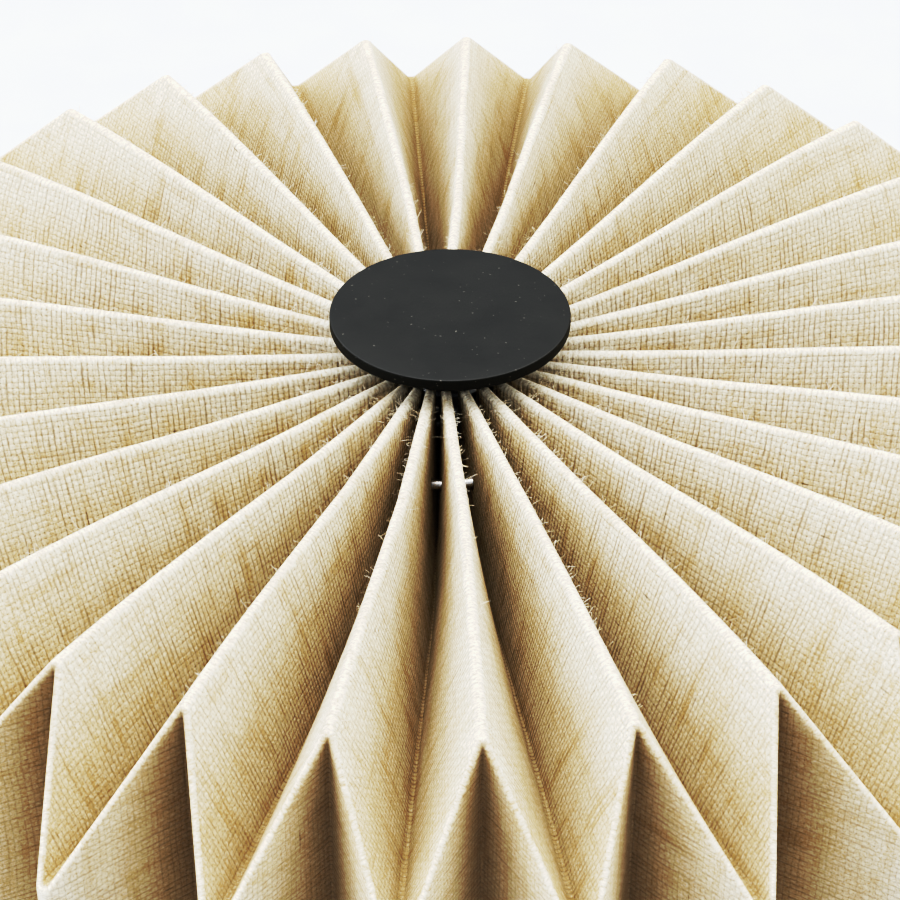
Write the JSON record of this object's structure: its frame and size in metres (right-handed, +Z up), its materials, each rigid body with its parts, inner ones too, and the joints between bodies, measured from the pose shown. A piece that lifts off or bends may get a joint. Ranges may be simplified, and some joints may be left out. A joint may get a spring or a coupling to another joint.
{
  "type": "pleated lamp shade",
  "caption": "Round flat-topped lamp shade of deep radial linen pleats under a small black screw-on disc cap, with a wire carrier and fitter ring inside.",
  "frame": {"origin": "centre of the shade at the level of the hem, the shade upright with its cap on top", "axes": "+Z up along the shade's axis through the cap; -Y is the front, the side that faces the camera"},
  "size_m": [0.2484, 0.2479, 0.15],
  "materials": {
    "linen": "coarse plain-woven undyed linen on a stiff translucent backing",
    "tape": "thin bonded tape",
    "bright_steel": "bright drawn wire",
    "black_coat": "matt black powder coat, fine texture",
    "black_felt": "dense black pressed felt",
    "zinc_steel": "zinc plated",
    "white_coat": "satin white coat"
  },
  "bodies": {
    "shade": {"pleated_shade": "linen", "seam_tape": "tape", "gather_ring": "bright_steel", "hub_sleeve": "zinc_steel", "hub_plate": "white_coat", "lock_washer": "zinc_steel", "hub_nut": "zinc_steel", "arm_1": "white_coat", "arm_2": "white_coat", "arm_3": "white_coat", "fitter_ring": "white_coat"},
    "pad": {"cap_pad": "black_felt"},
    "cap": {"cap_disc": "black_coat", "cap_stud": "zinc_steel"}
  },
  "joints": [
    {"name": "cap_lift", "type": "slide", "parent": "shade", "child": "pad", "axis": [0, 0, 1], "range_m": [0, 0.012]},
    {"name": "cap_turn", "type": "hinge", "parent": "pad", "child": "cap", "pos_m": [0, 0, 0.148], "axis": [0, 0, 1], "range_deg": [0, 4320]}
  ],
  "couplings": [
    {"joint": "cap_turn", "follows": "cap_lift", "rad_per_m": 6283.2}
  ]
}
